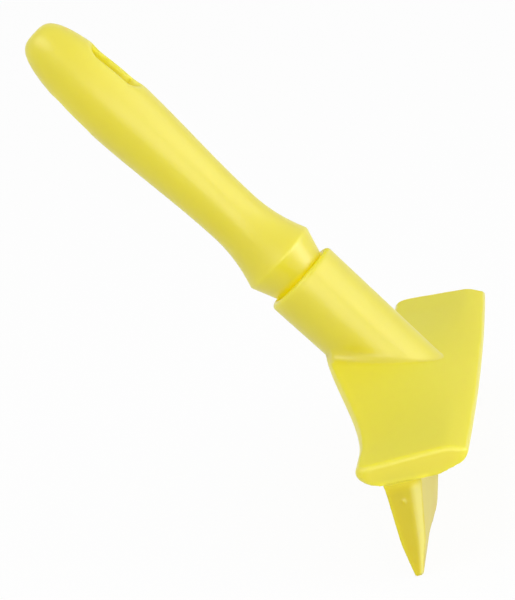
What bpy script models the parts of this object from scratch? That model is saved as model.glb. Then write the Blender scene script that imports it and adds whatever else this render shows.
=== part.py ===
"""Hand squeegee: a winged plastic head with a soft wiping blade under it,
and a short grip that screws into the slanted socket on top of the head.

Frame: +X is the front of the head, away from the grip, +Y runs along the blade, +Z is up.
The origin is the middle of the blade's wiping edge.
"""

import math

import bmesh
import bpy
from mathutils import Matrix, Vector

MM = 0.001

# Fits
SEAT_GAP = 0.3 * MM             # between pieces that touch on the real tool

# Blade
BLADE_LENGTH = 245 * MM         # along the wiping edge
BLADE_HEIGHT = 34.0 * MM        # wiping edge to the seat under the head
BLADE_ROOT_WIDTH = 13.2 * MM
BLADE_NECK_WIDTH = 12.0 * MM    # just under the flared root
BLADE_FLARE_HEIGHT = 4.0 * MM   # height of that flare
BLADE_WAIST_WIDTH = 8.4 * MM    # where the steep lower taper starts
BLADE_WAIST_HEIGHT = 12.0 * MM
BLADE_WAIST_ROUND = 16.0 * MM
BLADE_EDGE_WIDTH = 2.8 * MM     # flat land of the wiping edge
TONGUE_WIDTH = 3.0 * MM         # rib of the head that the blade is moulded round
TONGUE_DEPTH = 9.0 * MM
TONGUE_END_COVER = 6.0 * MM     # blade material over each end of the rib

# Head, seen along Y
END_RAKE = 0.20                 # the ends run back: length lost per length forward
SEAT_WIDTH = 14.0 * MM          # flat under the head that carries the blade
BAR_FRONT = 24.3 * MM           # front edge, from the blade's middle plane
BAR_BACK = 15.5 * MM            # back edge near the ends
BAR_TOP_RISE = 9.7 * MM         # seat to the highest line of the top
BAR_TOP_LINE = 17.0 * MM        # how far forward that line lies
TOP_LINE_ROUND = 3.2 * MM
FRONT_EDGE_RISE = 7.2 * MM      # seat to the top corner of the front edge
FRONT_EDGE_HEIGHT = 4.0 * MM
FRONT_EDGE_LEAN = 1.6 * MM      # its foot lies this far behind its top corner
FRONT_KEEL_REACH = 12.5 * MM    # where the belly under the front edge starts to rise
FRONT_ROUND = 1.6 * MM
FRONT_BOW = 1.5 * MM            # how far the front edge bows out at mid length
BACK_EDGE_ROUND = 2.8 * MM      # half the thickness of the back edge, which is fully round
BACK_EDGE_RISE = 5.1 * MM       # seat to the middle of the back edge near the ends
BACK_CORNER_ROUND = 5.0 * MM    # seen from above, where the back edge meets an end
END_EDGE_ROUND = 1.1 * MM

# Wing: near mid length the back edge sweeps up and back to carry the socket
WING_SWEEP_BACK = 17.5 * MM
WING_SWEEP_UP = 14.2 * MM
WING_EDGE_ROUND = 1.5 * MM      # the back edge thins to this at mid length
WING_EDGE_TILT = math.radians(23)
WING_CROWN = 1.2 * MM           # bulge of the wing's top at mid length
WING_END_STRAIGHT = 21.5 * MM   # stretch at each end where the back edge doesn't sweep
WING_SHOULDER = 4 * MM          # softens the sweep at mid length
WING_START_SLOPE = -0.91        # sweep lost beside mid length, per share of the run

# Socket and thread, along the grip's axis, measured from the socket's mouth
GRIP_ANGLE = math.radians(53)   # above the horizontal
MOUTH_BACK = 37.8 * MM          # mouth centre, behind the blade's middle plane
MOUTH_HEIGHT = 85.6 * MM
SOCKET_DIAMETER = 31.6 * MM     # at the mouth
SOCKET_TAPER = 1.0 * MM         # diameter lost from the mouth to the wing
SOCKET_LIP_ROUND = 1.7 * MM
SOCKET_FOOT_ROUND = 5.0 * MM    # hollow round where the socket runs into the wing
SOCKET_FOOT_FADE = 10.0 * MM    # the hollow round dies out this near the back edge
SOCKET_FOOT_SINK = 5.0 * MM     # the foot goes on this far inside the wing
THREAD_PITCH = 5.0 * MM
THREAD_CORE_DIAMETER = 18.0 * MM
THREAD_RIDGE_HEIGHT = 1.3 * MM  # crests are cut back, so that the grip also pulls straight out
THREAD_CREST_WIDTH = 1.2 * MM
THREAD_FLANK_SPREAD = 0.8       # ridge width gained per ridge height
THREAD_CREST_GAP = 0.3 * MM     # the grip's crests to the socket's
THREAD_START = -7.0 * MM        # upper end of the grip's ridge
THREAD_END = -26.0 * MM         # lower end of it
THREAD_RUN_OUT = 1 / 6          # turn of the ridge that fades at each end
THREAD_TIP_SHARE = 0.1          # height left at the very end of a ridge
SPIGOT_LENGTH = 28.0 * MM
SOCKET_FLOOR_GAP = 3.0 * MM     # under the spigot

# Grip
CONE_MARGIN = 0.1 * MM          # the cone is wider than the bore by this, at the mouth
FLARE_DIAMETER = 31.5 * MM
FLARE_HEIGHT = 10.5 * MM
FLARE_ROUND = 0.5 * MM
CONE_FOOT_DEPTH = 3.4 * MM      # the cone reaches this far into the mouth
WAIST_DIAMETER = 22.4 * MM
WAIST_HEIGHT = 34.0 * MM
BELLY_DIAMETER = 27.5 * MM
BELLY_HEIGHT = 98.0 * MM
GRIP_HEIGHT = 137.4 * MM
TIP_POWER = 1.8                 # shape of the round tip
TIP_BLUNTNESS = 0.27
SLOT_LENGTH = 22.5 * MM         # hanging slot
SLOT_WIDTH = 10.0 * MM
SLOT_MIDDLE = 106.0 * MM
SLOT_RIM_ROUND = 1.2 * MM

# Fineness
ROUND_STEPS = 44
THREAD_STEPS = 32               # a turn
WING_STATIONS = 32
ARC_STEPS = 4
CROWN_STEPS = 4
EDGE_STEPS = 2
CORNER_LIMIT = 0.49             # most of an outline's side that one rounded corner takes
ROUND_LIMIT = 0.98              # of a fully round edge, which keeps a sliver of flat
SMOOTH_ANGLE = math.radians(35)
OVERRUN = 5 * MM                # cutters run past what they cut
EMBED = 0.2 * MM                # joined shapes reach into each other
CLEAR = 0.05 * MM               # a rounding cutter stays this far outside the faces it joins

# Sizes that follow from these
SEAT_HEIGHT = BLADE_HEIGHT + SEAT_GAP
MOUTH = Vector((-MOUTH_BACK, 0, MOUTH_HEIGHT))
ALONG_GRIP = Vector((-math.cos(GRIP_ANGLE), 0, math.sin(GRIP_ANGLE)))
CREST_RADIUS = THREAD_CORE_DIAMETER / 2 + THREAD_RIDGE_HEIGHT
BORE_CREST_RADIUS = CREST_RADIUS + THREAD_CREST_GAP
BORE_RADIUS = BORE_CREST_RADIUS + THREAD_RIDGE_HEIGHT
BORE_DEPTH = SPIGOT_LENGTH + SOCKET_FLOOR_GAP
CONE_RADIUS = BORE_RADIUS + CONE_MARGIN
CONE_SPREAD = (FLARE_DIAMETER / 2 - CONE_RADIUS) / FLARE_HEIGHT
SEAT_RADIUS = CONE_RADIUS + SEAT_GAP * math.hypot(1, CONE_SPREAD)
LIP_ROUND = min(SOCKET_LIP_ROUND, CORNER_LIMIT * (SOCKET_DIAMETER / 2 - SEAT_RADIUS))


def rounded_outline(corners):
    """Points of a closed outline whose corners, (x, z, radius), are rounded off."""
    points = []
    count = len(corners)
    for i, (x, z, radius) in enumerate(corners):
        here = Vector((x, z))
        before = Vector(corners[i - 1][:2]) - here
        after = Vector(corners[(i + 1) % count][:2]) - here
        if radius <= 0:
            points.append(here)
            continue
        half = before.angle(after) / 2
        reach = min(radius / math.tan(half), CORNER_LIMIT * min(before.length, after.length))
        bisector = (before.normalized() + after.normalized()).normalized()
        centre = here + bisector * (reach / math.cos(half))
        start = here + before.normalized() * reach - centre
        turn = start.angle_signed(here + after.normalized() * reach - centre)
        for step in range(ARC_STEPS + 1):
            angle = -turn * step / ARC_STEPS
            swung = Matrix.Rotation(angle, 2) @ start
            points.append(centre + swung)
    return points


def mesh_object(name, mesh, collection, parent=None):
    piece = bpy.data.objects.new(name, mesh)
    collection.objects.link(piece)
    if parent:
        piece.parent = parent
    return piece


def loft(name, rows, collection, parent=None):
    """A closed body through rows of points, each row a closed section."""
    mesh = bpy.data.meshes.new(name)
    shape = bmesh.new()
    rings = [[shape.verts.new(point) for point in row] for row in rows]
    for low, high in zip(rings, rings[1:]):
        for i in range(len(low)):
            j = (i + 1) % len(low)
            shape.faces.new((low[i], low[j], high[j], high[i]))
    shape.faces.new(rings[0])
    shape.faces.new(rings[-1])
    bmesh.ops.recalc_face_normals(shape, faces=shape.faces)
    shape.to_mesh(mesh)
    shape.free()
    mesh.shade_smooth()
    mesh.set_sharp_from_angle(angle=SMOOTH_ANGLE)
    return mesh_object(name, mesh, collection, parent)


def turned(name, profile, collection, parent=None):
    """A solid of revolution about local Z, from (radius, height) points run top to bottom."""
    mesh = bpy.data.meshes.new(name)
    edges = [(i, i + 1) for i in range(len(profile) - 1)]
    mesh.from_pydata([(radius, 0, height) for radius, height in profile], edges, [])
    piece = mesh_object(name, mesh, collection, parent)
    screw = piece.modifiers.new("Turn", "SCREW")
    screw.axis = "Z"
    screw.steps = ROUND_STEPS
    screw.render_steps = ROUND_STEPS
    screw.use_merge_vertices = True
    screw.merge_threshold = 0.00001
    return piece


def box(name, low, high, collection, parent=None):
    mesh = bpy.data.meshes.new(name)
    shape = bmesh.new()
    bmesh.ops.create_cube(shape, size=1)
    size = Vector(high) - Vector(low)
    middle = (Vector(high) + Vector(low)) / 2
    bmesh.ops.scale(shape, vec=size, verts=shape.verts)
    bmesh.ops.translate(shape, vec=middle, verts=shape.verts)
    shape.to_mesh(mesh)
    shape.free()
    return mesh_object(name, mesh, collection, parent)


def combine(piece, tool, operation):
    """Cut a tool from a piece, or join it to it."""
    boolean = piece.modifiers.new(tool.name, "BOOLEAN")
    boolean.operation = operation
    boolean.solver = "EXACT"
    boolean.object = tool
    tool.hide_render = True
    tool.display_type = "WIRE"


def material(name, colour, roughness):
    finish = bpy.data.materials.new(name)
    finish.use_nodes = True
    shader = finish.node_tree.nodes["Principled BSDF"]
    shader.inputs["Base Color"].default_value = (*colour, 1)
    shader.inputs["Roughness"].default_value = roughness
    shader.inputs["Metallic"].default_value = 0
    return finish


def along_head(x, fraction, length=BLADE_LENGTH):
    """Y of a point at this fraction of the half length, on ends that rake back."""
    return fraction * (length / 2 - END_RAKE * x)


def sweep_share(y):
    """How much of the wing's sweep there is at y: 1 at mid length, 0 near the ends."""
    run = BLADE_LENGTH / 2 - WING_END_STRAIGHT
    soft = math.hypot(y, WING_SHOULDER) - WING_SHOULDER
    t = min(1.0, soft / (math.hypot(run, WING_SHOULDER) - WING_SHOULDER))
    slope = WING_START_SLOPE
    return 1 + slope * t - (3 + 2 * slope) * t ** 2 + (2 + slope) * t ** 3


def back_edge(share):
    """Outermost point, direction and radius of the round back edge at a share of the sweep."""
    x = -BAR_BACK - WING_SWEEP_BACK * share
    z = SEAT_HEIGHT + BACK_EDGE_RISE + WING_SWEEP_UP * share
    tilt = WING_EDGE_TILT * share
    radius = BACK_EDGE_ROUND + (WING_EDGE_ROUND - BACK_EDGE_ROUND) * share
    return Vector((x, z)), Vector((-math.cos(tilt), math.sin(tilt))), radius


def back_corners(share):
    """Top and bottom corner of the back edge before it is rounded."""
    outermost, outward, radius = back_edge(share)
    upward = Vector((outward.y, -outward.x))
    return outermost + upward * radius, outermost - upward * radius


def wing_top(x, y):
    """Height of the head's top behind its highest line."""
    share = sweep_share(y)
    back = back_corners(share)[0]
    rise = SEAT_HEIGHT + BAR_TOP_RISE - back.y
    t = max(0, (x - back.x) / (BAR_TOP_LINE - back.x))
    return back.y + rise * t + WING_CROWN * share * 4 * t * (1 - t)


def head_section(y):
    """Closed outline of the head at y, counted round from the top of the back edge."""
    share = sweep_share(y)
    top_corner, low_corner = back_corners(share)
    front = BAR_FRONT + FRONT_BOW * (1 - (2 * y / BLADE_LENGTH) ** 2)
    edge_top = SEAT_HEIGHT + FRONT_EDGE_RISE
    edge_low = edge_top - FRONT_EDGE_HEIGHT
    nearly_round = ROUND_LIMIT * back_edge(share)[2]
    step = (BAR_TOP_LINE - top_corner.x) / CROWN_STEPS
    crown = [top_corner.x + step * i for i in range(1, CROWN_STEPS)]
    return rounded_outline([
        (*top_corner, nearly_round),
        *[(x, wing_top(x, y), 0) for x in crown],
        (BAR_TOP_LINE, SEAT_HEIGHT + BAR_TOP_RISE, TOP_LINE_ROUND),
        (front, edge_top, FRONT_ROUND),
        (front - FRONT_EDGE_LEAN, edge_low, FRONT_ROUND),
        (FRONT_KEEL_REACH, SEAT_HEIGHT, FRONT_ROUND),
        (SEAT_WIDTH / 2, SEAT_HEIGHT, 0),
        (-SEAT_WIDTH / 2, SEAT_HEIGHT, 0),
        (*low_corner, nearly_round),
    ])


def end_corner(side, tools):
    """Cutter that rounds the back corner of one end, seen from above.

    It stays a little outside the back edge and the end, so that it meets them only at the round.
    """
    back = -BAR_BACK - EMBED
    corner = along_head(back, 1) + CLEAR
    inner = back + 2 * BACK_CORNER_ROUND
    outline = rounded_outline([
        (back, corner - 2 * BACK_CORNER_ROUND, 0),
        (back, corner, BACK_CORNER_ROUND),
        (inner, along_head(inner, 1) + CLEAR, 0),
        (inner, corner + OVERRUN, 0),
        (back - OVERRUN, corner + OVERRUN, 0),
        (back - OVERRUN, corner - 2 * BACK_CORNER_ROUND, 0)])
    bottom = SEAT_HEIGHT - OVERRUN
    top = SEAT_HEIGHT + BAR_TOP_RISE + OVERRUN
    rows = [[(x, side * y, z) for x, y in outline] for z in (bottom, top)]
    return loft("cut_end_corner", rows, tools)


def head_shell(model, tools):
    rows = []
    for station in range(WING_STATIONS + 1):
        fraction = 2 * station / WING_STATIONS - 1
        outline = head_section(fraction * BLADE_LENGTH / 2)
        rows.append([(x, along_head(x, fraction), z) for x, z in outline])
    shell = loft("squeegee_body", rows, model)
    for side in (-1, 1):
        combine(shell, end_corner(side, tools), "DIFFERENCE")
    bevel = shell.modifiers.new("End edges", "BEVEL")
    bevel.width = END_EDGE_ROUND
    bevel.segments = EDGE_STEPS
    bevel.limit_method = "ANGLE"
    bevel.angle_limit = math.radians(60)
    return shell


def cone_radius(height):
    """Radius of the grip's cone at a height above the socket's mouth."""
    return CONE_RADIUS + CONE_SPREAD * height


def around():
    """Directions round the grip's axis, from its front."""
    forward = Vector((math.sin(GRIP_ANGLE), 0, math.cos(GRIP_ANGLE)))
    turns = [2 * math.pi * i / ROUND_STEPS for i in range(ROUND_STEPS)]
    return [forward * math.cos(turn) + Vector((0, math.sin(turn), 0)) for turn in turns]


def socket_ring(radius, height):
    """Ring round the grip's axis at a height above the socket's mouth."""
    return [MOUTH + ALONG_GRIP * height + out * radius for out in around()]


def foot_ring(share, sink=0):
    """Ring of the socket's foot, a share of the way up the hollow round out of the wing.

    The round is as a ball would leave it that rolls between socket and wing, and it dies out
    towards the wing's back edge. The ring is moved into the wing by sink.
    """
    back = back_corners(1)[0]
    slope = math.atan2(back.y - SEAT_HEIGHT - BAR_TOP_RISE, BAR_TOP_LINE - back.x)
    normal = Vector((math.sin(slope), 0, math.cos(slope)))
    on_wing = Vector((back.x, 0, back.y))
    along = ALONG_GRIP / ALONG_GRIP.dot(normal)
    ring = []
    for out in around():
        start = MOUTH + out * (SOCKET_DIAMETER - SOCKET_TAPER) / 2
        foot = start - along * (start - on_wing).dot(normal)
        fade = (foot.x - back.x) / SOCKET_FOOT_FADE
        radius = SOCKET_FOOT_ROUND * min(1, max(0, fade))
        between = math.acos(out.dot(normal))
        swing = between * share
        height = radius * (1 - math.cos(swing))
        spread = radius * (math.tan(between / 2) - math.sin(swing)) + height / math.tan(between)
        outward = (out - normal * out.dot(normal)).normalized()
        point = foot + along * height + outward * spread
        plane_height = on_wing.z + (on_wing.x - point.x) * math.tan(slope)
        settle = wing_top(point.x, point.y) - plane_height
        point.z += settle * (1 - share) ** 2
        ring.append(point - ALONG_GRIP * sink)
    return ring


def barrel(collection):
    """The socket's outside: a round mouth and a foot that spreads into the wing's top."""
    rows = []
    for step in range(ARC_STEPS + 1):
        swing = math.pi / 2 * step / ARC_STEPS
        lip = SOCKET_DIAMETER / 2 - LIP_ROUND * (1 - math.sin(swing))
        rows.append(socket_ring(lip, -LIP_ROUND * (1 - math.cos(swing))))
    rows += [foot_ring(1 - step / ARC_STEPS) for step in range(ARC_STEPS + 1)]
    rows.append(foot_ring(0, SOCKET_FOOT_SINK))
    return loft("barrel", rows, collection)


def bore(collection, axis):
    """Cutter for the threaded bore, with a seat that faces the grip's cone."""
    seat_foot = -(SEAT_RADIUS - BORE_RADIUS) / CONE_SPREAD
    rim = SEAT_RADIUS + 2 * LIP_ROUND
    profile = [(0, OVERRUN), (rim, OVERRUN)]
    arc = rounded_outline([
        (rim, CLEAR, 0), (SEAT_RADIUS, CLEAR, LIP_ROUND), (BORE_RADIUS, seat_foot, 0),
        (rim, seat_foot, 0)])
    profile += arc[:-1]
    profile += [(BORE_RADIUS, -BORE_DEPTH), (0, -BORE_DEPTH)]
    return turned("cut_bore", profile, collection, axis)


def thread_ridge(name, root_radius, crest_radius, bottom, top, collection, axis):
    """A right-hand helical ridge from root to crest that dies out at both ends."""
    turns = (top - bottom) / THREAD_PITCH
    steps = round(turns * THREAD_STEPS)
    fade = THREAD_STEPS * THREAD_RUN_OUT
    inward = 1 if crest_radius > root_radius else -1
    foot_radius = root_radius - inward * EMBED
    rows = []
    for step in range(steps + 1):
        angle = 2 * math.pi * step / THREAD_STEPS
        height = bottom + THREAD_PITCH * step / THREAD_STEPS
        share = min(1, step / fade, (steps - step) / fade)
        crest = foot_radius + (crest_radius - foot_radius) * max(share, THREAD_TIP_SHARE)
        crest_half = THREAD_CREST_WIDTH / 2
        foot_half = crest_half + THREAD_FLANK_SPREAD * abs(crest - foot_radius) / 2
        section = [(foot_radius, -foot_half), (crest, -crest_half),
                   (crest, crest_half), (foot_radius, foot_half)]
        rows.append([(radius * math.cos(angle), radius * math.sin(angle), height + offset)
                     for radius, offset in section])
    return loft(name, rows, collection, axis)


def socket_thread(collection, axis):
    """The socket's ridge winds midway between the turns of the grip's."""
    return thread_ridge("socket_thread", BORE_RADIUS, BORE_CREST_RADIUS,
                        THREAD_END + THREAD_PITCH / 2, THREAD_START, collection, axis)


def tongue(collection):
    """The rib under the head that holds the blade."""
    half = BLADE_LENGTH / 2 - TONGUE_END_COVER
    return box("tongue", (-TONGUE_WIDTH / 2, -half, SEAT_HEIGHT - TONGUE_DEPTH),
               (TONGUE_WIDTH / 2, half, SEAT_HEIGHT + BAR_TOP_RISE / 2), collection)


def squeegee_body(model, tools, axis):
    body = head_shell(model, tools)
    combine(body, barrel(tools), "UNION")
    combine(body, tongue(tools), "UNION")
    combine(body, bore(tools, axis), "DIFFERENCE")
    combine(body, socket_thread(tools, axis), "UNION")
    return body


def wiping_blade(model, tools):
    """The soft wedge, moulded round the head's rib, on the line it bends about."""
    hinge = SEAT_HEIGHT - TONGUE_DEPTH
    neck_height = BLADE_HEIGHT - BLADE_FLARE_HEIGHT
    right = [(BLADE_EDGE_WIDTH / 2, 0, 0),
             (BLADE_WAIST_WIDTH / 2, BLADE_WAIST_HEIGHT, BLADE_WAIST_ROUND),
             (BLADE_NECK_WIDTH / 2, neck_height, 0),
             (BLADE_ROOT_WIDTH / 2, BLADE_HEIGHT, 0)]
    left = [(-x, z, radius) for x, z, radius in reversed(right)]
    outline = rounded_outline(right + left)
    rows = [[(x, along_head(x, fraction), z - hinge) for x, z in outline]
            for fraction in (-1, 1)]
    blade = loft("wiping_blade", rows, model)
    blade.location = (0, 0, hinge)
    half_length = BLADE_LENGTH / 2 - TONGUE_END_COVER + SEAT_GAP
    half_width = TONGUE_WIDTH / 2 + SEAT_GAP
    pocket = box("cut_pocket", (-half_width, -half_length, -SEAT_GAP),
                 (half_width, half_length, TONGUE_DEPTH + OVERRUN), tools)
    pocket.parent = blade
    combine(blade, pocket, "DIFFERENCE")
    return blade


def ease(t):
    return t * t * (3 - 2 * t)


def grip_profile():
    """The grip's outline, from its tip down to the foot of the spigot."""
    waist = WAIST_DIAMETER / 2
    belly = BELLY_DIAMETER / 2
    flare = FLARE_DIAMETER / 2
    profile = []
    tip_steps = 3 * ARC_STEPS
    for step in range(tip_steps + 1):
        t = math.cos(math.pi / 2 * step / tip_steps) ** (1 / TIP_POWER)
        radius = belly * (1 - t ** TIP_POWER) ** TIP_BLUNTNESS
        profile.append((radius, BELLY_HEIGHT + (GRIP_HEIGHT - BELLY_HEIGHT) * t))
    belly_steps = 2 * ARC_STEPS
    for step in range(1, belly_steps + 1):
        t = step / belly_steps
        height = BELLY_HEIGHT + (WAIST_HEIGHT - BELLY_HEIGHT) * t
        profile.append((belly + (waist - belly) * ease(t), height))
    flare_steps = 2 * ARC_STEPS
    flare_top = FLARE_HEIGHT + FLARE_ROUND
    for step in range(1, flare_steps + 1):
        t = step / flare_steps
        height = WAIST_HEIGHT + (flare_top - WAIST_HEIGHT) * t
        profile.append((waist + (flare - waist) * t * t, height))
    core = THREAD_CORE_DIAMETER / 2
    chamfer = THREAD_CREST_WIDTH
    profile += [(cone_radius(FLARE_HEIGHT - FLARE_ROUND), FLARE_HEIGHT - FLARE_ROUND),
                (cone_radius(-CONE_FOOT_DEPTH), -CONE_FOOT_DEPTH),
                (core, -CONE_FOOT_DEPTH - chamfer),
                (core, -SPIGOT_LENGTH + chamfer),
                (core - chamfer, -SPIGOT_LENGTH),
                (0, -SPIGOT_LENGTH)]
    return profile


def slot_cutter(tools, axis):
    """Obround hole across the grip, square to Y, with its rims rounded over."""
    radius = SLOT_WIDTH / 2
    reach = SLOT_LENGTH / 2 - radius
    rows = []
    half = BELLY_DIAMETER / 2
    levels = [(-half - OVERRUN, SLOT_RIM_ROUND + OVERRUN), (-half + SLOT_RIM_ROUND, 0),
              (half - SLOT_RIM_ROUND, 0), (half + OVERRUN, SLOT_RIM_ROUND + OVERRUN)]
    steps = 2 * ARC_STEPS
    for across, growth in levels:
        row = []
        for end in (1, -1):
            for step in range(steps + 1):
                angle = math.pi * (step / steps - 0.5) + (0 if end > 0 else math.pi)
                along = SLOT_MIDDLE + end * reach + (radius + growth) * math.cos(angle)
                row.append((across, (radius + growth) * math.sin(angle), along))
        rows.append(row)
    return loft("cut_slot", rows, tools, axis)


def mini_handle(model, tools, axis):
    grip = turned("mini_handle", grip_profile(), model, axis)
    thread = thread_ridge("grip_thread", THREAD_CORE_DIAMETER / 2, CREST_RADIUS,
                          THREAD_END, THREAD_START, tools, axis)
    combine(grip, thread, "UNION")
    combine(grip, slot_cutter(tools, axis), "DIFFERENCE")
    return grip


def grip_axis(tools):
    """Empty at the socket's mouth, with its Z along the grip."""
    axis = bpy.data.objects.new("grip_axis", None)
    axis.location = MOUTH
    axis.rotation_euler = (0, GRIP_ANGLE - math.pi / 2, 0)
    tools.objects.link(axis)
    return axis


def main():
    for old in list(bpy.data.objects):
        bpy.data.objects.remove(old, do_unlink=True)
    model = bpy.data.collections.new("hand_squeegee")
    tools = bpy.data.collections.new("cutters")
    bpy.context.scene.collection.children.link(model)
    bpy.context.scene.collection.children.link(tools)

    axis = grip_axis(tools)
    plastic = material("yellow_plastic", (0.80, 0.68, 0.09), 0.32)
    rubber = material("yellow_rubber", (0.78, 0.60, 0.10), 0.45)
    squeegee_body(model, tools, axis).data.materials.append(plastic)
    mini_handle(model, tools, axis).data.materials.append(plastic)
    wiping_blade(model, tools).data.materials.append(rubber)
    bpy.context.view_layer.update()


main()
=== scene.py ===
import math

import bpy
from mathutils import Matrix, Quaternion, Vector


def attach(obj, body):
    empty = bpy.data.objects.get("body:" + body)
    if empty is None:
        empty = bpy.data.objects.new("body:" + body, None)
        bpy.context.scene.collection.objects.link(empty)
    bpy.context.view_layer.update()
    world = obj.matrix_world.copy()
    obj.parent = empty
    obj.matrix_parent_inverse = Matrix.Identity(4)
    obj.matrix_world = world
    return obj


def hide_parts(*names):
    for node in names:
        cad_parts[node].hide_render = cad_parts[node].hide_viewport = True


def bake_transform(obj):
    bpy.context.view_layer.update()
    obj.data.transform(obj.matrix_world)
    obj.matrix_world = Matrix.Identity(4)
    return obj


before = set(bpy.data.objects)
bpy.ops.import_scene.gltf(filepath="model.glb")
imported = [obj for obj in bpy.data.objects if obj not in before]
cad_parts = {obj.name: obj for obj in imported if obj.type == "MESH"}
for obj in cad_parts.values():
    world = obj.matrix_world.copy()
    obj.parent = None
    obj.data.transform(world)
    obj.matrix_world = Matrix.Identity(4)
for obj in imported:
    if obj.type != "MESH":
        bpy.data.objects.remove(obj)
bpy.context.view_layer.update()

# Lengths are millimetres up to the finish, which is in metres, as is the studio. +X is the
# front, the blade runs along Y and stands on z = 0. The meshes are made in millimetres and
# scaled at the end.
MM = 0.001
COARSER = 1.0
BAND = 4  # voxels over which a volume's density falls from 1 to 0

# The volume that each piece is cut from: its lowest and highest corner and its voxel
HEAD_BOX = ((-55, -128, 23), (28, 128, 98), 0.72)
GRIP_BOX = ((-18, -18, -30), (18, 18, 140), 0.46)
BLADE_BOX = ((-9, -127, -1), (9, 127, 36), 0.56)

# Head: the bar that holds the blade, in section and along its length
LENGTH = 245.0
END_RAKE = 0.20  # the ends lean outwards by this for each millimetre to the rear
SEAT = 34.3  # the height where the head meets the blade
SEAT_HALF = 7.0
BAR_FRONT = 24.3
BAR_BACK = 15.5
TOP_LINE = 17.0  # where the top's slope meets the front bevel
TOP_RISE = 9.7
TOP_LEAN = 0.98  # turns a height over the sloping top into a distance
FRONT_RISE = 7.2
FRONT_HEIGHT = 4.0
FRONT_LEAN = 1.6
FRONT_BOW = 1.5
KEEL_REACH = 12.5  # where the slope under the front edge leaves the seat
REAR_RISE = 5.1
CROWN = 1.2
TOP_BLEND = 1.2
BELLY_BLEND = 0.9
RIB_HALF = 1.5
RIB_DEPTH = 9.0
RIB_COVER = 6.0

# Head: how its rear edge sweeps back and up towards the middle
SWEEP_BACK = 17.5
SWEEP_UP = 14.2
SWEEP_RUN = LENGTH / 2 - 21.5
SWEEP_SHOULDER = 4.0  # rounds the sweep in the middle of the bar
SWEEP_SLOPE = -0.91  # how steeply the sweep falls off from the middle
REAR_TILT = math.radians(23)

# Head: rounds
FRONT_ROUND = 1.6
FRONT_CORNER_ROUND = 2.4
REAR_ROUND = 2.8
REAR_ROUND_MIDDLE = 1.5
CORNER_ROUND = 5.5
END_ROUND = 1.3
SEAT_END_ROUND = 0.15
REAR_RUN = (-14.0, -8.0)  # x over which the rear edge's round turns into an end's

# Socket, bore and thread
GRIP_ANGLE = math.radians(53)
MOUTH_BACK = 37.8
MOUTH_HEIGHT = 85.6
SOCKET_RADIUS = 15.8
SOCKET_TAPER = 0.0125
LIP_ROUND = 1.7
LIP_INNER_ROUND = 0.9
FOOT_ROUND = 6.2
FOOT_TIP = 10.0  # the foot's hollow round shrinks to nothing from the rear edge to here
FOOT_FADE = 2.0  # and is gone again at the rear edge itself, over this run
FOOT_LEAST = 0.01
BORE_RADIUS = 11.9
BORE_DEPTH = 31.0
SEAT_RADIUS = 11.7
CONE_RADIUS = 12.0
CONE_SPREAD = 0.357
PITCH = 5.0
THREAD_TOP = -7.0
THREAD_FOOT = -26.0
THREAD_FADE = 0.5
RIDGE_HEIGHT = 1.3
RIDGE_CREST = 0.6
RIDGE_FLANK = 0.52

# Grip: heights are above the socket's mouth, along the grip
CORE_RADIUS = 9.0
SPIGOT_LENGTH = 28.0
SPIGOT_TOP = 5.0
SPIGOT_ROUND = 1.0
CONE_FOOT = -3.4
FLARE_RADIUS = 15.75
FLARE_HEIGHT = 10.8
FLARE_ROUND = 0.4
WAIST_RADIUS = 11.2
WAIST_HEIGHT = 34.0
BELLY_RADIUS = 13.75
BELLY_HEIGHT = 98.0
STEM_OVERLAP = 1.0  # how far the stem runs on into the tip
GRIP_HEIGHT = 137.4
TIP_POWER = 1.8
TIP_BLUNTNESS = 0.27
TIP_STEEP_LEAST = 0.02
SLOT_HALF = 4.9
SLOT_REACH = 6.25
SLOT_MIDDLE = 106.0
SLOT_ROUND = 3.0
SLOT_BACK_ROUND = 1.2
SLOT_RUN = (-5.0, 5.0)  # x over which the slot's back round turns into its front's

# Blade
BLADE_TOP = 34.25
BLADE_SUNK = 0.35  # how far the root runs on above that, into the head
LAND_HALF = 1.4
WAIST_HALF = 4.2
WAIST_LEVEL = 12.0
NECK_HALF = 6.0
NECK_LEVEL = 30.0
ROOT_HALF = 6.6
LOWER_LEAN = 0.97  # turns a sideways gap to the lower flank into a distance
STEP_BLEND = 0.3
ROOT_BLEND = 0.15
LIP_ROUND_OFF = 0.25
BLADE_END_LEAN = 0.95  # the same for a gap to the raked ends
BLADE_END_ROUND = 0.6
BLADE_END_TURN = 0.4  # how far the ends turn in at the front face, in half thicknesses
BLADE_END_DEEP = 1.1  # how far they lie inside the head's ends
BLADE_END_FLARE = 31.4  # the height from which they spread to meet the head
HALF_LEAST = 0.5  # the thinnest half of the blade that the turn is reckoned from
NUB = (-0.6, 27.3)  # x and z of the moulding nub on the near end
NUB_RADIUS = 1.3
NUB_DEEP = 0.9
NUB_BLEND = 0.2
NUB_CLEAR = 5.0  # keeps it off the far end
POCKET_GAP = 0.3  # between the head's rib and its pocket in the blade
WAVE = 1.3
WAVE_MIDDLE = -42.0
WAVE_REACH = 36.0

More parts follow.
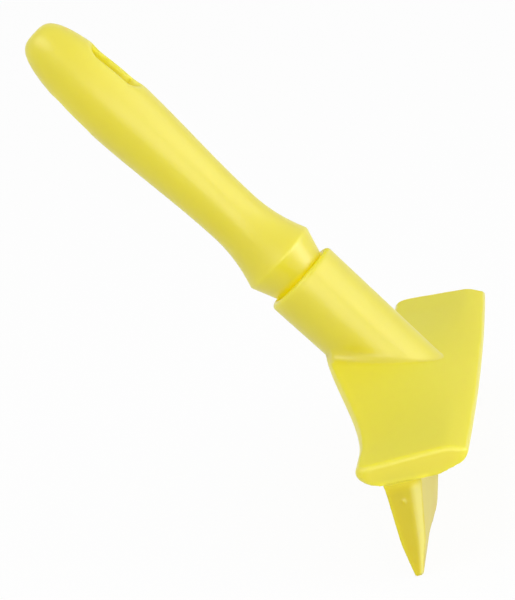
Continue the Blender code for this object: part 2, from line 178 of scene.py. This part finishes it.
# Marks: a pair is where one eases from 0 to 1, and two more numbers are its own two values
# Most marks paint light: a painted glow and golden painted bounce light in creases, pale painted
# highlights, a lighter painted top; matt only roughens
WING_TURN = (0.78, 0.88)
SLOT_EDGE = (0.1, 2.6, 1.0, 0.0)
SLOT_FOOT = (80, 90)
SLOT_PAINTED_BOUNCE = (97, 110, 0.0, 0.12)
SLOT_PAINTED_LIGHT = (98, 112, 0.45, 0.1)
SLOT_WALL_GLOW = (4, 10, 0.11, 0.0)
SLOT_END_GLOW = (98, 104, 0.07, 0.0)
NECK_BAND = 2.4
NECK_SLANT = 0.14
NECK_FALL = 0.7
NECK_PAINTED_BOUNCE = 0.95
NECK_GLOW = (0.4, 2.2, 0.10, 0.0)
NECK_FOOT = (-6, -4)
MOUTH_RUN = (-3, -1)
MOUTH_EDGE = (12.2, 13.2, 1.0, 0.0)
MOUTH_GLOW = 0.12
SEAT_GLOW = (SEAT, SEAT + 2.2, 0.2, 0.0)
SEAT_GLOW_REACH = (ROOT_HALF + 1, ROOT_HALF + 5, 1.0, 0.0)
ROOT_GLOW = (SEAT - 4.5, SEAT - 0.5, 0.0, 0.24)
ROOT_GLOW_TURN = (0.5, 0.9, 1.0, 0.0)
FLANK_TURN = (0.80, 0.95)
CORNER_TURN_IN = (0.22, 0.62)
CORNER_TURN_OUT = (0.80, 0.92, 1.0, 0.0)
CORNER_TOP = (30.5, 34, 1.0, 0.0)

# Finish: two close colours that the cloudiness mixes, and the tint that each mark mixes in
YELLOWS = ((0.775, 0.69, 0.022), (0.79, 0.705, 0.030))
RUBBER_YELLOWS = ((0.66, 0.55, 0.008), (0.69, 0.58, 0.012))
# The tints are painted light: the pale one a painted highlight, the golden one painted bounce light
# in hollows, the third a lighter painted top of the head
TINTS = {"pale": (0.80, 0.73, 0.21), "painted_bounce": (0.93, 0.79, 0.0), "top_painted_light": (0.815, 0.728, 0.032)}
CLOUD_SCALE = 22.0
CLOUD_RANGE = (0.35, 0.65)
GRAIN_SCALE = 900.0
GRAIN_DEPTH = 0.0001
GRAIN_STRENGTH = 0.10
CLOUD_ROUGHNESS = 0.05
GRAIN_ROUGHNESS = 0.04
SCATTER = (1.0, 1.0, 0.2)  # how far red, green and blue light wander, against each other
PLASTIC_IOR = 1.5

# Studio, in metres and degrees
WHITE = (1, 1, 1, 1)
FLOOR_COLOUR = (0.9, 0.9, 0.9, 1)
FLOOR_HALF = 6
FLOOR_DROP = 0.0002
FLOOR_GLOW = 0.95
WORLD_LIGHT = 0.64
LIGHT_AIM = Vector((-0.03, 0, 0.1))
# The lamps, with left, right and front as the picture has them: turn from -Y towards +X,
# rise, size, watts, watts added in reflections, roll and distance
LAMPS = {
    "front_light": (15, 5, (1.2, 0.7), 4.9, 2.5, 20, 1.7),
    "right_light": (57, 20, (0.9, 0.7), 2.0, 0.5, 25, 1.7),
    "side_light": (92, 34, (0.9, 0.7), 1.45, 0.5, 20, 1.7),
    "low_light": (76, 4, (0.75, 0.3), 1.9, 2.6, 0, 1.0),
    "left_light": (-46, 46, (1.4, 1.0), 5.5, 6.0, 0, 1.7),
    "band_light": (79, 26, (3.2, 0.55), 0.4, 18.0, 12, 1.7),
}
EYE = (0.0946, -0.9927, 0.2932)
EYE_TURN, EYE_TIP, EYE_ROLL = 8.6, 12.04, 10.98
EYE_REACH = 50
FOCAL_PIXELS = 2660
PICTURE_PIXELS = 515
SENSOR_WIDTH = 36


class Value:
    """A socket of a node tree. An expression on values adds the Math nodes that it needs."""

    def __init__(self, tree, socket):
        self.tree = tree
        self.socket = socket

    def math(self, operation, *others):
        return self.tree.node("ShaderNodeMath", {"operation": operation}, [self, *others])

    def __add__(self, other):
        return self.math("ADD", other)

    def __sub__(self, other):
        return self.math("SUBTRACT", other)

    def __rsub__(self, other):
        return self.tree.node("ShaderNodeMath", {"operation": "SUBTRACT"}, [other, self])

    def __mul__(self, other):
        return self.math("MULTIPLY", other)

    def __truediv__(self, other):
        return self.math("DIVIDE", other)

    def __pow__(self, other):
        return self.math("POWER", other)

    def __neg__(self):
        return self * -1

    def __abs__(self):
        return self.math("ABSOLUTE")

    __radd__ = __add__
    __rmul__ = __mul__

    def least(self, floor):
        return self.math("MAXIMUM", floor)

    def most(self, ceiling):
        return self.math("MINIMUM", ceiling)

    def step(self, start, end, low=0.0, high=1.0):
        """Eases from low at start to high at end."""
        return self.tree.node("ShaderNodeMapRange", {"interpolation_type": "SMOOTHSTEP"},
                              [self, start, end, low, high])


class Tree:
    """A node tree, with methods that add nodes and give the value of one of their outputs."""

    def __init__(self, nodes):
        self.nodes = nodes

    def node(self, kind, settings=None, inputs=(), output=0):
        made = self.nodes.nodes.new(kind)
        for name, value in (settings or {}).items():
            setattr(made, name, value)
        pairs = inputs.items() if isinstance(inputs, dict) else enumerate(inputs)
        for key, value in pairs:
            if isinstance(value, Value):
                self.nodes.links.new(value.socket, made.inputs[key])
            else:
                made.inputs[key].default_value = value
        return Value(self, made.outputs[output]) if made.outputs else None

    def parts(self, vector):
        return [self.node("ShaderNodeSeparateXYZ", None, [vector], i) for i in range(3)]

    def mark(self, name):
        return self.node("ShaderNodeAttribute", {"attribute_name": name}, (), 2)

    def mixed(self, share, low, high):
        """A colour between two. A colour Mix node has its colours at inputs 6 and 7."""
        return self.node("ShaderNodeMix", {"data_type": "RGBA"}, {0: share, 6: low, 7: high}, 2)


def cleared(owner):
    """The emptied node tree of a new material or world."""
    owner.use_nodes = True
    owner.node_tree.nodes.clear()
    return Tree(owner.node_tree)


def length(a, b):
    return (a * a + b * b) ** 0.5


def rounded(a, b, radius):
    """Inside both a and b, with the edge where they meet rounded."""
    return a.least(b).most(-radius) + length((a + radius).least(0), (b + radius).least(0))


def filleted(a, b, radius):
    """Inside a or b, with a hollow round where they meet."""
    return a.most(b).least(radius) - length((radius - a).least(0), (radius - b).least(0))


def along_line(x, z, start, end):
    """Distance to the left of the line from start to end, seen along Y."""
    run = end[0] - start[0]
    rise = end[1] - start[1]
    return ((z - start[1]) * run - (x - start[0]) * rise) / length(run, rise)


def shape_group(name, sizes, box, shape, finish, marks, place):
    """A Geometry Nodes group whose sizes are inputs, and each input's identifier."""
    low, high, voxel = box
    voxel = voxel * COARSER
    group = bpy.data.node_groups.new(name, "GeometryNodeTree")
    group.interface.new_socket("Geometry", in_out="OUTPUT", socket_type="NodeSocketGeometry")
    identifiers = {}
    for label, size in sizes.items():
        socket = group.interface.new_socket(label, in_out="INPUT", socket_type="NodeSocketFloat")
        socket.default_value = size
        identifiers[label] = socket.identifier
    tree = Tree(group)
    entry = group.nodes.new("NodeGroupInput")
    given = {label: Value(tree, entry.outputs[label]) for label in sizes}
    x, y, z = tree.parts(tree.node("GeometryNodeInputPosition"))
    distance = shape(x, y, z, given)
    density = (0.5 - distance / (BAND * voxel)).least(0).most(1)
    counts = [round((b - a) / voxel) for a, b in zip(low, high)]
    volume = tree.node("GeometryNodeVolumeCube", None,
                       {"Density": density, "Background": 0.0, "Min": low, "Max": high,
                        "Resolution X": counts[0], "Resolution Y": counts[1],
                        "Resolution Z": counts[2]})
    mesh = tree.node("GeometryNodeVolumeToMesh", {"resolution_mode": "GRID"},
                     {"Volume": volume, "Threshold": 0.5, "Adaptivity": 0.0})
    normal = tree.parts(tree.node("GeometryNodeInputNormal"))
    for mark, field in marks.items():
        mesh = tree.node("GeometryNodeStoreNamedAttribute",
                         {"data_type": "FLOAT", "domain": "POINT"},
                         {"Geometry": mesh, "Name": mark, "Value": field(x, y, z, normal)})
    turn, shift = place
    mesh = tree.node("GeometryNodeTransform", None,
                     {"Geometry": mesh, "Translation": shift, "Rotation": turn,
                      "Scale": (MM, MM, MM)})
    mesh = tree.node("GeometryNodeSetShadeSmooth", None, {"Geometry": mesh})
    mesh = tree.node("GeometryNodeRealizeInstances", None, {"Geometry": mesh})
    mesh = tree.node("GeometryNodeSetMaterial", None, {"Geometry": mesh, "Material": finish})
    tree.node("NodeGroupOutput", None, [mesh])
    return group, identifiers


def moulded(name, sizes, box, shape, finish, marks, place=((0, 0, 0), (0, 0, 0))):
    """A plain closed mesh of the space in the box where the shape's distance is negative.

    Marks are attributes of its surface, worked out from its place and direction. The place
    is the turn and the shift, in metres, from where the shape is worked out."""
    group, identifiers = shape_group(name, sizes, box, shape, finish, marks, place)
    holder = bpy.data.objects.new(name + "_tree", bpy.data.meshes.new(name + "_start"))
    bpy.context.scene.collection.objects.link(holder)
    modifier = holder.modifiers.new("Shape", "NODES")
    modifier.node_group = group
    for label, size in sizes.items():
        modifier[identifiers[label]] = float(size)
    bpy.context.view_layer.update()
    evaluated = holder.evaluated_get(bpy.context.evaluated_depsgraph_get())
    plain = bpy.data.meshes.new_from_object(evaluated)
    plain.name = name
    bpy.data.objects.remove(holder)
    piece = bpy.data.objects.new(name, plain)
    bpy.context.scene.collection.objects.link(piece)
    return piece


def thread(x, y, height, low, top):
    """Height of a right-hand ridge round the local Z axis, between two levels."""
    turn = y.math("ARCTAN2", x)
    off = (height - low - turn * (PITCH / (2 * math.pi))).math("WRAP", PITCH / 2, -PITCH / 2)
    ridge = ((RIDGE_CREST + RIDGE_FLANK - abs(off)) / RIDGE_FLANK).least(0).most(1)
    inside = (height.step(low - THREAD_FADE, low + THREAD_FADE)
              * height.step(top - THREAD_FADE, top + THREAD_FADE, 1.0, 0.0))
    return ridge * inside * RIDGE_HEIGHT


def in_socket(x, z):
    """Height above the socket's mouth along its axis, and distance in front of the axis."""
    sine, cosine = math.sin(GRIP_ANGLE), math.cos(GRIP_ANGLE)
    mouth_x = x + MOUTH_BACK
    mouth_z = z - MOUTH_HEIGHT
    return mouth_z * sine - mouth_x * cosine, mouth_x * sine + mouth_z * cosine


def bar_shape(x, y, z, size):
    """The bar, its underside alone, and the x of its rear edge."""
    half = size["Length"] / 2
    reach = half - x * END_RAKE
    station = abs(y) * half / reach
    soft = length(station, SWEEP_SHOULDER) - SWEEP_SHOULDER
    run = math.hypot(SWEEP_RUN, SWEEP_SHOULDER) - SWEEP_SHOULDER
    t = (soft / run).most(1)
    # A cubic from 1 in the middle, where it has SWEEP_SLOPE, to 0 and level at the run's end
    share = ((t * (2 + SWEEP_SLOPE) - (3 + 2 * SWEEP_SLOPE)) * t + SWEEP_SLOPE) * t + 1

    rear_x = share * -size["Sweep back"] - BAR_BACK
    rear_z = share * size["Sweep up"] + (SEAT + REAR_RISE)
    sine = (share * REAR_TILT).math("SINE")
    cosine = (share * REAR_TILT).math("COSINE")
    thick = share * (REAR_ROUND_MIDDLE - REAR_ROUND) + REAR_ROUND
    upper_x = rear_x + sine * thick
    upper_z = rear_z + cosine * thick
    lower_x = rear_x - sine * thick
    lower_z = rear_z - cosine * thick

    t = ((x - upper_x) / (TOP_LINE - upper_x)).least(0)
    top_z = upper_z + (SEAT + TOP_RISE - upper_z) * t + share * t * (1 - t) * (4 * CROWN)
    top = (z - top_z) * TOP_LEAN
    front = (1 - (station / half) ** 2) * FRONT_BOW + BAR_FRONT
    edge_top = SEAT + FRONT_RISE
    bevel = along_line(x, z, (front, edge_top), (TOP_LINE, SEAT + TOP_RISE)) * -1
    nose = (((x - front) * FRONT_HEIGHT - (z - edge_top) * FRONT_LEAN)
            / math.hypot(FRONT_HEIGHT, FRONT_LEAN))
    keel = along_line(x, z, (KEEL_REACH, SEAT),
                      (front - FRONT_LEAN, edge_top - FRONT_HEIGHT)) * -1
    under = along_line(x, z, (-SEAT_HALF, SEAT), (lower_x, lower_z))
    upper = top.math("SMOOTH_MAX", bevel, TOP_BLEND)
    belly = (SEAT - z).math("SMOOTH_MAX", under, BELLY_BLEND)
    belly = belly.math("SMOOTH_MAX", keel, BELLY_BLEND)

    back = (z - rear_z) * sine - (x - rear_x) * cosine
    end = (abs(y) - reach) * math.cos(math.atan(END_RAKE))
    rear = rounded(back, end, CORNER_ROUND)
    to_rear = x.step(*REAR_RUN, 1.0, 0.0)
    body = rounded(upper, rear, to_rear * (thick - END_ROUND) + END_ROUND)
    body = body.least(rounded(belly, rear,
                              to_rear * (thick - SEAT_END_ROUND) + SEAT_END_ROUND))
    body = body.least(rounded(upper, nose, FRONT_ROUND))
    body = body.least(rounded(belly, nose, FRONT_ROUND))
    return body.least(rounded(nose, end, FRONT_CORNER_ROUND)), belly, rear_x


def socket_shape(x, y, z):
    """The socket as a solid with a conical mouth, and the space of its threaded bore."""
    height, forward = in_socket(x, z)
    radius = length(forward, y)
    outside = radius - (height * SOCKET_TAPER + SOCKET_RADIUS)
    cone = (height * CONE_SPREAD + SEAT_RADIUS).least(BORE_RADIUS)
    solid = rounded(rounded(outside, height, LIP_ROUND), cone - radius, LIP_INNER_ROUND)
    bore = radius - cone + thread(forward, y, height, THREAD_FOOT + PITCH / 2, THREAD_TOP)
    return solid, bore.least(-BORE_DEPTH - height)


def head_shape(x, y, z, size):
    bar, belly, rear_x = bar_shape(x, y, z, size)
    socket, bore = socket_shape(x, y, z)
    foot = ((FOOT_TIP - x) / (FOOT_TIP - rear_x)).least(0).most(1) * FOOT_ROUND
    foot = foot * ((x - rear_x) / FOOT_FADE).least(0).most(1) + FOOT_LEAST
    whole = filleted(bar, socket.least(belly), foot).least(-bore)
    rib = (abs(x) - RIB_HALF).least(abs(y) - (size["Length"] / 2 - RIB_COVER))
    rib = rib.least(SEAT - RIB_DEPTH - z).least(z - (SEAT + TOP_RISE / 2))
    return whole.most(rib)


def slot_distance(y, height):
    """Distance out from the wall of the grip's slot."""
    return length(y, (abs(height - SLOT_MIDDLE) - SLOT_REACH).least(0)) - SLOT_HALF


def stem_shape(radius, height, size):
    """The waisted stem with its flare, and the blunt tip above the belly."""
    t = ((WAIST_HEIGHT - height) / (WAIST_HEIGHT - FLARE_HEIGHT)).least(0)
    flare = t * t * (FLARE_RADIUS - WAIST_RADIUS)
    swell = height.step(WAIST_HEIGHT, BELLY_HEIGHT) * (BELLY_RADIUS - WAIST_RADIUS)
    stem = (radius - WAIST_RADIUS - flare - swell).least(height - BELLY_HEIGHT - STEM_OVERLAP)
    t = ((height - BELLY_HEIGHT) / (size["Height"] - BELLY_HEIGHT)).least(0)
    out = radius / BELLY_RADIUS
    power = 1 / TIP_BLUNTNESS
    excess = out ** power + t ** TIP_POWER - 1
    steep = length(out ** (power - 1) * (power / BELLY_RADIUS),
                   t ** (TIP_POWER - 1) * (TIP_POWER / (GRIP_HEIGHT - BELLY_HEIGHT)))
    tip = (excess / steep.least(TIP_STEEP_LEAST)).least(BELLY_HEIGHT - height)
    return stem.most(tip)


def grip_shape(x, y, height, size):
    radius = length(x, y)
    cone = (radius - CONE_RADIUS - height * CONE_SPREAD) * math.cos(math.atan(CONE_SPREAD))
    body = rounded(stem_shape(radius, height, size), cone, FLARE_ROUND)
    body = body.least(CONE_FOOT - height)
    core = radius - CORE_RADIUS - thread(x, y, height, THREAD_FOOT, THREAD_TOP)
    spigot = rounded(core, -SPIGOT_LENGTH - height, SPIGOT_ROUND).least(height - SPIGOT_TOP)
    return rounded(body.most(spigot), -slot_distance(y, height),
                   x.step(*SLOT_RUN, SLOT_BACK_ROUND, SLOT_ROUND))


def flank_shape(side, z):
    """The blade's flank: a lower and an upper slope and a slight spread at the root."""
    lower_slope = (WAIST_HALF - LAND_HALF) / WAIST_LEVEL
    upper_slope = (NECK_HALF - WAIST_HALF) / (NECK_LEVEL - WAIST_LEVEL)
    root_slope = (ROOT_HALF - NECK_HALF) / (BLADE_TOP - NECK_LEVEL)
    lower = (side - LAND_HALF - z * lower_slope) * LOWER_LEAN
    upper = side - WAIST_HALF - (z - WAIST_LEVEL) * upper_slope
    root = side - NECK_HALF - (z - NECK_LEVEL) * root_slope
    return lower.math("SMOOTH_MAX", upper.math("SMOOTH_MIN", root, ROOT_BLEND), STEP_BLEND)


def blade_shape(x, y, z, size):
    bump = (1 - ((y - WAVE_MIDDLE) / WAVE_REACH) ** 2).least(0)
    low = (1 - z / BLADE_TOP).least(0).most(1)
    bent = x - bump * bump * low * size["Wave"]
    side = abs(bent)
    flank = flank_shape(side, z)

    half = size["Length"] / 2
    local = (side - flank).least(HALF_LEAST)
    turned = (bent.least(0) ** 3) / (local * local) * BLADE_END_TURN
    flare = ((z - BLADE_END_FLARE) / (SEAT - BLADE_END_FLARE)).least(0)
    sunk = (1 - flare ** 2) * BLADE_END_DEEP
    end = (abs(y) - (half - x * END_RAKE) + turned + sunk) * BLADE_END_LEAN
    nub = length(x - NUB[0], z - NUB[1])
    dome = length(nub, end + NUB_DEEP) - NUB_RADIUS
    end = end.math("SMOOTH_MIN", dome + y.step(0, 1) * NUB_CLEAR, NUB_BLEND)

    body = rounded(flank, end, BLADE_END_ROUND).least(z - BLADE_TOP - BLADE_SUNK)
    body = rounded(body, -z, LIP_ROUND_OFF)
    pocket = (abs(x) - (RIB_HALF + POCKET_GAP)).least(abs(y) - (half - RIB_COVER + POCKET_GAP))
    return body.least(-pocket.least(SEAT - RIB_DEPTH - POCKET_GAP - z))


def top_matt_and_painted_light(x, y, z, normal):
    """1 on the head's upward-facing top, 0 on the socket and round the edges. It makes the top
    rougher and tints it lighter, which is painted light.
    """
    return normal[2].step(*WING_TURN)


def mouth_painted_bounce(x, y, z, normal):
    """1 on the inner edge of the socket's mouth, which gets golden painted bounce light."""
    height, forward = in_socket(x, z)
    return height.step(*MOUTH_RUN) * length(forward, y).step(*MOUTH_EDGE)


def head_painted_glow(x, y, z, normal):
    """A painted glow on the head's edge over the blade and on the socket's mouth, lightening the
    shade there.
    """
    seat = z.step(*SEAT_GLOW) * abs(x).step(*SEAT_GLOW_REACH)
    return seat.least(mouth_painted_bounce(x, y, z, normal) * MOUTH_GLOW)


def slot_share(x, y, height, normal):
    """1 inside the grip's slot, easing to 0 over its rounded edge."""
    return slot_distance(y, height).step(*SLOT_EDGE) * height.step(*SLOT_FOOT)


def slot_painted_light(x, y, height, normal):
    """How much pale painted highlight goes on the plastic in the slot, most at its lower end."""
    return slot_share(x, y, height, normal) * height.step(*SLOT_PAINTED_LIGHT)


def grip_painted_bounce(x, y, height, normal):
    """How strongly a golden painted bounce light tints the foot of the cone and the slot."""
    edge = NECK_BAND - x * NECK_SLANT
    neck = ((edge - height) / edge).least(0).most(1) ** NECK_FALL
    neck = neck * height.step(*NECK_FOOT) * NECK_PAINTED_BOUNCE
    return neck.least(slot_share(x, y, height, normal) * height.step(*SLOT_PAINTED_BOUNCE))


def grip_painted_glow(x, y, height, normal):
    """A painted glow at the foot of the cone and in the slot, lightening the shade there."""
    neck = height.step(*NECK_GLOW) * height.step(*NECK_FOOT)
    wall = x.step(*SLOT_WALL_GLOW) + height.step(*SLOT_END_GLOW)
    return neck.least(slot_share(x, y, height, normal) * wall)


def flank_grain(x, y, z, normal):
    """1 on the blade's long faces, 0 on its ends."""
    return abs(normal[0]).step(*FLANK_TURN)


def painted_corner_highlight(x, y, z, normal):
    """1 where the blade's ends turn into its front face, which gets a pale painted highlight."""
    return normal[0].step(*CORNER_TURN_IN) * normal[0].step(*CORNER_TURN_OUT) * z.step(*CORNER_TOP)


def root_painted_glow(x, y, z, normal):
    """A painted glow at the root of the blade's two ends, lightening the crease under the head."""
    return z.step(*ROOT_GLOW) * abs(normal[0]).step(*ROOT_GLOW_TURN)


# Besides matt, these marks paint light: painted bounce tints and a painted glow in creases, pale
# painted highlights and a lighter painted top
HEAD_MARKS = {"matt": top_matt_and_painted_light, "top_painted_light": top_matt_and_painted_light, "painted_bounce": mouth_painted_bounce,
              "painted_glow": head_painted_glow}
GRIP_MARKS = {"matt": slot_share, "pale": slot_painted_light, "painted_bounce": grip_painted_bounce,
              "painted_glow": grip_painted_glow}
BLADE_MARKS = {"matt": flank_grain, "pale": painted_corner_highlight, "painted_glow": root_painted_glow}


def plastic(name, colours, marks, sheen, depth, gloss=0.76, dull=(0.35, 0.35)):
    """Moulded plastic with a fine grain, a faint cloudiness, and painted light from its marks:
    tints and a glow.

    Sheen is the roughness, and depth how far light wanders in it, in metres. Gloss is the
    specular level. Dull is that level and the added roughness where the mark matt is 1."""
    finish = bpy.data.materials.new(name)
    tree = cleared(finish)
    spot = tree.node("ShaderNodeTexCoord", None, (), 3)
    cloud = tree.node("ShaderNodeTexNoise", None,
                      {"Vector": spot, "Scale": CLOUD_SCALE, "Detail": 3.0, "Roughness": 0.5})
    grain = tree.node("ShaderNodeTexNoise", None,
                      {"Vector": spot, "Scale": GRAIN_SCALE, "Detail": 2.0, "Roughness": 0.6})
    tone = tree.mixed(cloud.step(*CLOUD_RANGE), *((*colour, 1) for colour in colours))
    for mark, tint in TINTS.items():
        if mark in marks:
            tone = tree.mixed(tree.mark(mark), tone, (*tint, 1))
    even = (CLOUD_ROUGHNESS + GRAIN_ROUGHNESS) / 2
    rough = cloud * CLOUD_ROUGHNESS + grain * GRAIN_ROUGHNESS + (sheen - even)
    # Painted glow: where this mark is set the surface emits its own colour, lightening the shade in
    # creases and edges
    glow = tree.mixed(tree.mark("painted_glow"), (0, 0, 0, 1), tone)
    bump = tree.node("ShaderNodeBump", None,
                     {"Strength": GRAIN_STRENGTH, "Distance": GRAIN_DEPTH, "Height": grain})
    skins = [tree.node("ShaderNodeBsdfPrincipled", None,
                       {"Base Color": tone, "Roughness": rough + more, "Normal": bump,
                        "IOR": PLASTIC_IOR, "Specular IOR Level": level,
                        "Subsurface Weight": 1.0, "Subsurface Radius": SCATTER,
                        "Subsurface Scale": depth,
                        "Emission Color": glow, "Emission Strength": 1.0})
             for level, more in ((gloss, 0.0), dull)]
    shader = tree.node("ShaderNodeMixShader", None, [tree.mark("matt"), *skins])
    tree.node("ShaderNodeOutputMaterial", None, {"Surface": shader})
    return finish


def in_picture(tree):
    """1 for the rays that show what they meet: camera, glossy and transmission rays."""
    camera_ray, *others = (tree.node("ShaderNodeLightPath", None, (), ray) for ray in
                           ("Is Camera Ray", "Is Glossy Ray", "Is Transmission Ray"))
    return sum(others, camera_ray).most(1)


def backdrop():
    """A pale floor that keeps a faint shadow, and a white surround that lights softly."""
    corners = [(FLOOR_HALF * x, FLOOR_HALF * y, 0) for x, y in ((-1, -1), (1, -1), (1, 1), (-1, 1))]
    floor_mesh = bpy.data.meshes.new("floor")
    floor_mesh.from_pydata(corners, [], [(0, 1, 2, 3)])
    floor = bpy.data.objects.new("floor", floor_mesh)
    floor.location.z = -FLOOR_DROP
    bpy.context.scene.collection.objects.link(floor)
    finish = bpy.data.materials.new("floor_white")
    tree = cleared(finish)
    matt = tree.node("ShaderNodeBsdfDiffuse", None, {"Color": FLOOR_COLOUR})
    glow = tree.node("ShaderNodeEmission", None, {"Color": WHITE, "Strength": 1.0})
    mix = tree.node("ShaderNodeMixShader", None, [in_picture(tree) * FLOOR_GLOW, matt, glow])
    tree.node("ShaderNodeOutputMaterial", None, {"Surface": mix})
    floor_mesh.materials.append(finish)

    world = bpy.data.worlds.new("studio")
    bpy.context.scene.world = world
    tree = cleared(world)
    dim = tree.node("ShaderNodeBackground", None, {"Color": WHITE, "Strength": WORLD_LIGHT})
    bright = tree.node("ShaderNodeBackground", None, {"Color": WHITE, "Strength": 1.0})
    mix = tree.node("ShaderNodeMixShader", None, [in_picture(tree), dim, bright])
    tree.node("ShaderNodeOutputWorld", None, {"Surface": mix})


def soft_box(name, turn, rise, size, watts, shine, roll, distance):
    """A soft light aimed at the object.

    The shine is a second light at the same place, which lights no surface and only shows
    in its reflections."""
    turn, rise = math.radians(turn), math.radians(rise)
    out = Vector((math.sin(turn) * math.cos(rise), -math.cos(turn) * math.cos(rise),
                  math.sin(rise)))
    aim = (-out).to_track_quat("-Z", "Y") @ Quaternion((0, 0, 1), math.radians(roll))
    for part, power in ((name, watts), (name + "_shine", shine)):
        light = bpy.data.lights.new(part, "AREA")
        light.shape = "RECTANGLE"
        light.size, light.size_y = size
        light.energy = power
        lamp = bpy.data.objects.new(part, light)
        bpy.context.scene.collection.objects.link(lamp)
        lamp.location = LIGHT_AIM + out * distance
        lamp.rotation_euler = aim.to_euler()
        lamp.visible_diffuse = part == name


def camera():
    turn, tip, roll = (math.radians(angle) for angle in (EYE_TURN, EYE_TIP, EYE_ROLL))
    ahead = Vector((-math.sin(turn) * math.cos(tip), math.cos(turn) * math.cos(tip),
                    -math.sin(tip)))
    right = Vector((math.cos(turn), math.sin(turn), 0))
    up = right.cross(ahead)
    x_axis = math.cos(roll) * right - math.sin(roll) * up
    y_axis = math.sin(roll) * right + math.cos(roll) * up
    eye = bpy.data.objects.new("camera", bpy.data.cameras.new("camera"))
    bpy.context.scene.collection.objects.link(eye)
    eye.data.sensor_fit = "HORIZONTAL"
    eye.data.sensor_width = SENSOR_WIDTH
    eye.data.lens = FOCAL_PIXELS * SENSOR_WIDTH / PICTURE_PIXELS
    eye.data.clip_end = EYE_REACH
    rows = Matrix((x_axis, y_axis, -ahead)).transposed()
    eye.matrix_world = Matrix.Translation(EYE) @ rows.to_4x4()
    bpy.context.scene.camera = eye


camera()
backdrop()
for lamp_name, settings in LAMPS.items():
    soft_box(lamp_name, *settings)
bpy.context.scene.view_settings.view_transform = "Standard"

grip_yellow = plastic("grip_plastic", YELLOWS, GRIP_MARKS, sheen=0.36, depth=0.007)
head_yellow = plastic("head_plastic", YELLOWS, HEAD_MARKS, sheen=0.35, depth=0.005)
rubber = plastic("blade_rubber", RUBBER_YELLOWS, BLADE_MARKS, sheen=0.26, depth=0.005,
                 gloss=0.5, dull=(0.6, 0.18))

head = moulded("scraper_head",
               {"Length": LENGTH, "Sweep back": SWEEP_BACK, "Sweep up": SWEEP_UP},
               HEAD_BOX, head_shape, head_yellow, HEAD_MARKS)
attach(head, "head")
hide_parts("squeegee_body")

tilt = GRIP_ANGLE - math.pi / 2
grip = moulded("hand_grip", {"Height": GRIP_HEIGHT}, GRIP_BOX, grip_shape, grip_yellow, GRIP_MARKS,
               ((0, tilt, 0), (-MOUTH_BACK * MM, 0, MOUTH_HEIGHT * MM)))
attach(grip, "handle")
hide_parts("mini_handle")

blade = moulded("soft_blade", {"Length": LENGTH, "Wave": WAVE}, BLADE_BOX, blade_shape, rubber,
                BLADE_MARKS)
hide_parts("wiping_blade")
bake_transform(blade)
